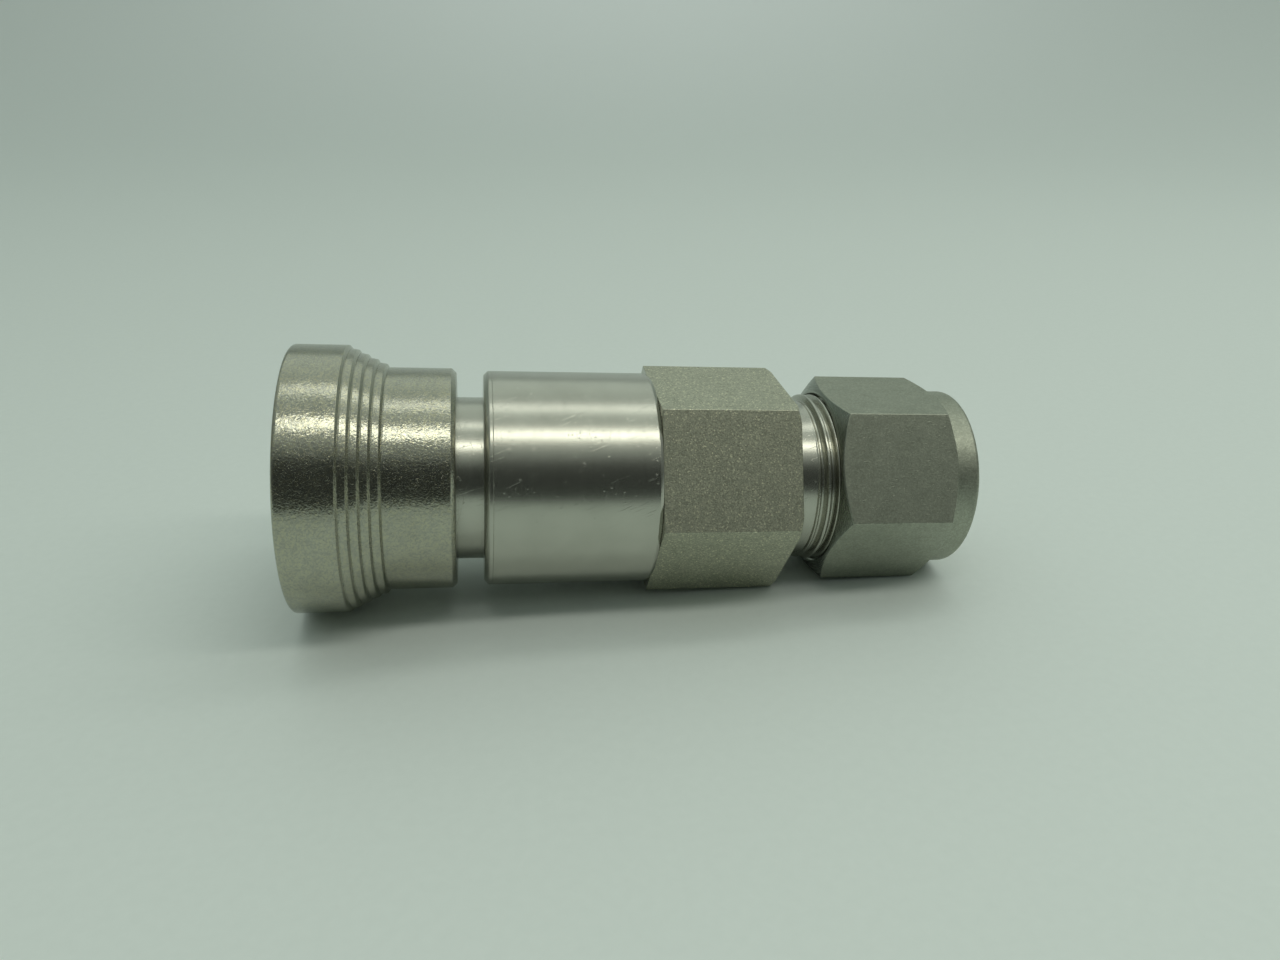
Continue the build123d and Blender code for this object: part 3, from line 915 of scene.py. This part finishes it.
def make_floor():
    """A pale round table that sweeps up into a backdrop behind the coupling."""
    flat_radius, bend_radius, outer_radius = 450.0, 1000.0, 15000.0
    bend_angle, bend_steps = radians(75), 24
    columns = 120
    level_from, full_height_within = 80, 50       # degrees from straight behind
    profile = [(flat_radius, 0.0)]                # distance from the middle, full height
    for step in range(1, bend_steps + 1):
        turn = bend_angle * step / bend_steps
        profile.append((flat_radius + bend_radius * sin(turn), bend_radius * (1 - cos(turn))))
    profile.append((outer_radius, profile[-1][1]))
    rows = len(profile)
    vertices, faces = [(0, 0, 0)], []
    for column in range(columns):
        degrees = 360 * column / columns - 180
        lift = eased((level_from - abs(degrees)) / (level_from - full_height_within))
        angle = radians(degrees)
        for radius, height in profile:
            vertices.append((radius * sin(angle), radius * cos(angle), height * lift))
        here, there = 1 + column * rows, 1 + (column + 1) % columns * rows
        faces.append((0, there, here))
        for row in range(rows - 1):
            faces.append((here + row, there + row, there + row + 1, here + row + 1))
    floor = make_object("floor", vertices, faces)
    place = Matrix.Translation(Vector(metre(*floor_middle)))
    floor.matrix_world = place @ Matrix.Rotation(-floor_tilt, 4, "Y")
    material, tree, shader, at = material_nodes("pale_floor")
    grain = noise(tree, at, size_mm=1.2, detail=4.0, roughness=0.6)
    colour = ramp(tree, grain, (0.3, (0.80, 0.87, 0.84)), (0.7, (0.82, 0.89, 0.86)))
    tree.links.new(colour, shader.inputs["Base Color"])
    shader.inputs["Roughness"].default_value = 0.6
    tree.links.new(bump(tree, grain, depth_mm=0.01), shader.inputs["Normal"])
    floor.data.materials.append(material)


make_floor()


# ---------------------------------------------------------------- camera
camera_place = (19.716, -101.688, 48.909)
camera_yaw = radians(11.324)     # to the right of +Y
camera_pitch = radians(25.434)   # downwards
camera_roll = radians(4.618)     # raises the camera's right side
camera_lens = 26.305             # on a sensor 36 mm wide


def make_camera():
    """The camera of the reference view."""
    camera = bpy.data.objects.new("camera", bpy.data.cameras.new("camera"))
    bpy.context.scene.collection.objects.link(camera)
    level_right = Vector((cos(camera_yaw), -sin(camera_yaw), 0))
    level = cos(camera_pitch)
    forward = Vector((sin(camera_yaw) * level, cos(camera_yaw) * level, -sin(camera_pitch)))
    level_up = level_right.cross(forward)
    right = cos(camera_roll) * level_right + sin(camera_roll) * level_up
    up = right.cross(forward)
    turn = Matrix((right, up, -forward)).transposed().to_4x4()
    camera.matrix_world = Matrix.Translation(Vector(metre(*camera_place))) @ turn
    camera.data.sensor_width = 36.0
    camera.data.lens = camera_lens
    camera.data.clip_start = 0.01
    camera.data.clip_end = 50.0
    bpy.context.scene.camera = camera


make_camera()


# ---------------------------------------------------------------- light
strip_middle_x = 320             # past the tube end, so that the flare catches less of the strips
strip_distance = 600
strip_length = 900


def area_light(name, length, width, radiance, colour=(1, 1, 1)):
    """A rectangular lamp, its length along its own X, that shines towards its own -Z."""
    data = bpy.data.lights.new(name, "AREA")
    data.shape = "RECTANGLE"
    data.size, data.size_y = length * MM, width * MM
    data.energy = radiance * pi * pi * data.size * data.size_y
    data.color = colour
    light = bpy.data.objects.new(name, data)
    light.rotation_mode = "QUATERNION"
    bpy.context.scene.collection.objects.link(light)
    return light


def strip_light(name, elevation, width, radiance, colour):
    """A soft strip parallel to the flow axis, seen from it at an elevation in degrees from -Y."""
    light = area_light(name, strip_length, width, radiance, colour)
    tilt = radians(elevation)
    toward = Vector((0, -cos(tilt), sin(tilt)))
    light.location = Vector(metre(strip_middle_x, 0, 0)) + toward * strip_distance * MM
    flow = Vector((1, 0, 0))
    turn = Matrix((flow, toward.cross(flow), toward)).transposed()
    light.rotation_quaternion = turn.to_quaternion()


def backdrop_light():
    """A lamp over the backdrop, with a narrow spread that keeps it off the coupling."""
    place, aim = Vector((200, 700, 1400)), Vector((200, 1150, 0))
    light = area_light("backdrop_light", length=500, width=400, radiance=0.3)
    light.data.spread = radians(60)
    light.location = metre(*place)
    light.rotation_quaternion = (aim - place).to_track_quat("-Z", "Y")


strip_light("front_strip", elevation=70.5, width=84, radiance=1.32, colour=(1.0, 1.0, 0.90))
strip_light("rear_strip", elevation=103, width=100, radiance=0.45, colour=(0.98, 1.0, 0.93))
backdrop_light()

# Brightness of the room by elevation, in degrees from straight in front (-Y), over the top to
# straight behind. The coupling's ends face room_ends, and room_wall is what the camera sees past
# the edge of the floor.
room_bands = [
    (-180, 0.50), (-20, 0.20), (5, 0.04), (27, 0.045), (40, 0.06), (45, 0.20), (51, 0.32),
    (62, 0.42), (82, 0.42), (93, 0.62), (110, 0.50), (135, 0.75), (158, 0.75), (180, 0.50),
]
room_tint = (0.88, 1.0, 0.91)
room_ends = 0.14
room_ends_power = 3.0            # how narrow the ends of the room are
room_wall = (0.36, 0.43, 0.39)


def make_world():
    """Soft room light in bands parallel to the flow axis."""
    world = bpy.data.worlds.new("room")
    bpy.context.scene.world = world
    world.use_nodes = True
    tree = world.node_tree
    direction = tree.nodes.new("ShaderNodeTexCoord").outputs["Generated"]
    parts = tree.nodes.new("ShaderNodeSeparateXYZ")
    tree.links.new(direction, parts.inputs["Vector"])
    forward = maths(tree, "MULTIPLY", parts.outputs["Y"], -1.0)
    elevation = maths(tree, "ARCTAN2", parts.outputs["Z"], forward)
    share = remap(tree, elevation, (-pi, pi), (0.0, 1.0))
    bands = ramp(tree, share, *(
        ((angle + 180) / 360, tuple(level * part for part in room_tint))
        for angle, level in room_bands
    ))
    along = maths(tree, "POWER", maths(tree, "ABSOLUTE", parts.outputs["X"]), room_ends_power)
    sky = mixed(tree, along, bands, tuple(room_ends * part for part in room_tint))
    seen = tree.nodes.new("ShaderNodeLightPath").outputs["Is Camera Ray"]
    tree.links.new(mixed(tree, seen, sky, room_wall), tree.nodes["Background"].inputs["Color"])


make_world()
bpy.context.scene.view_settings.view_transform = "Standard"
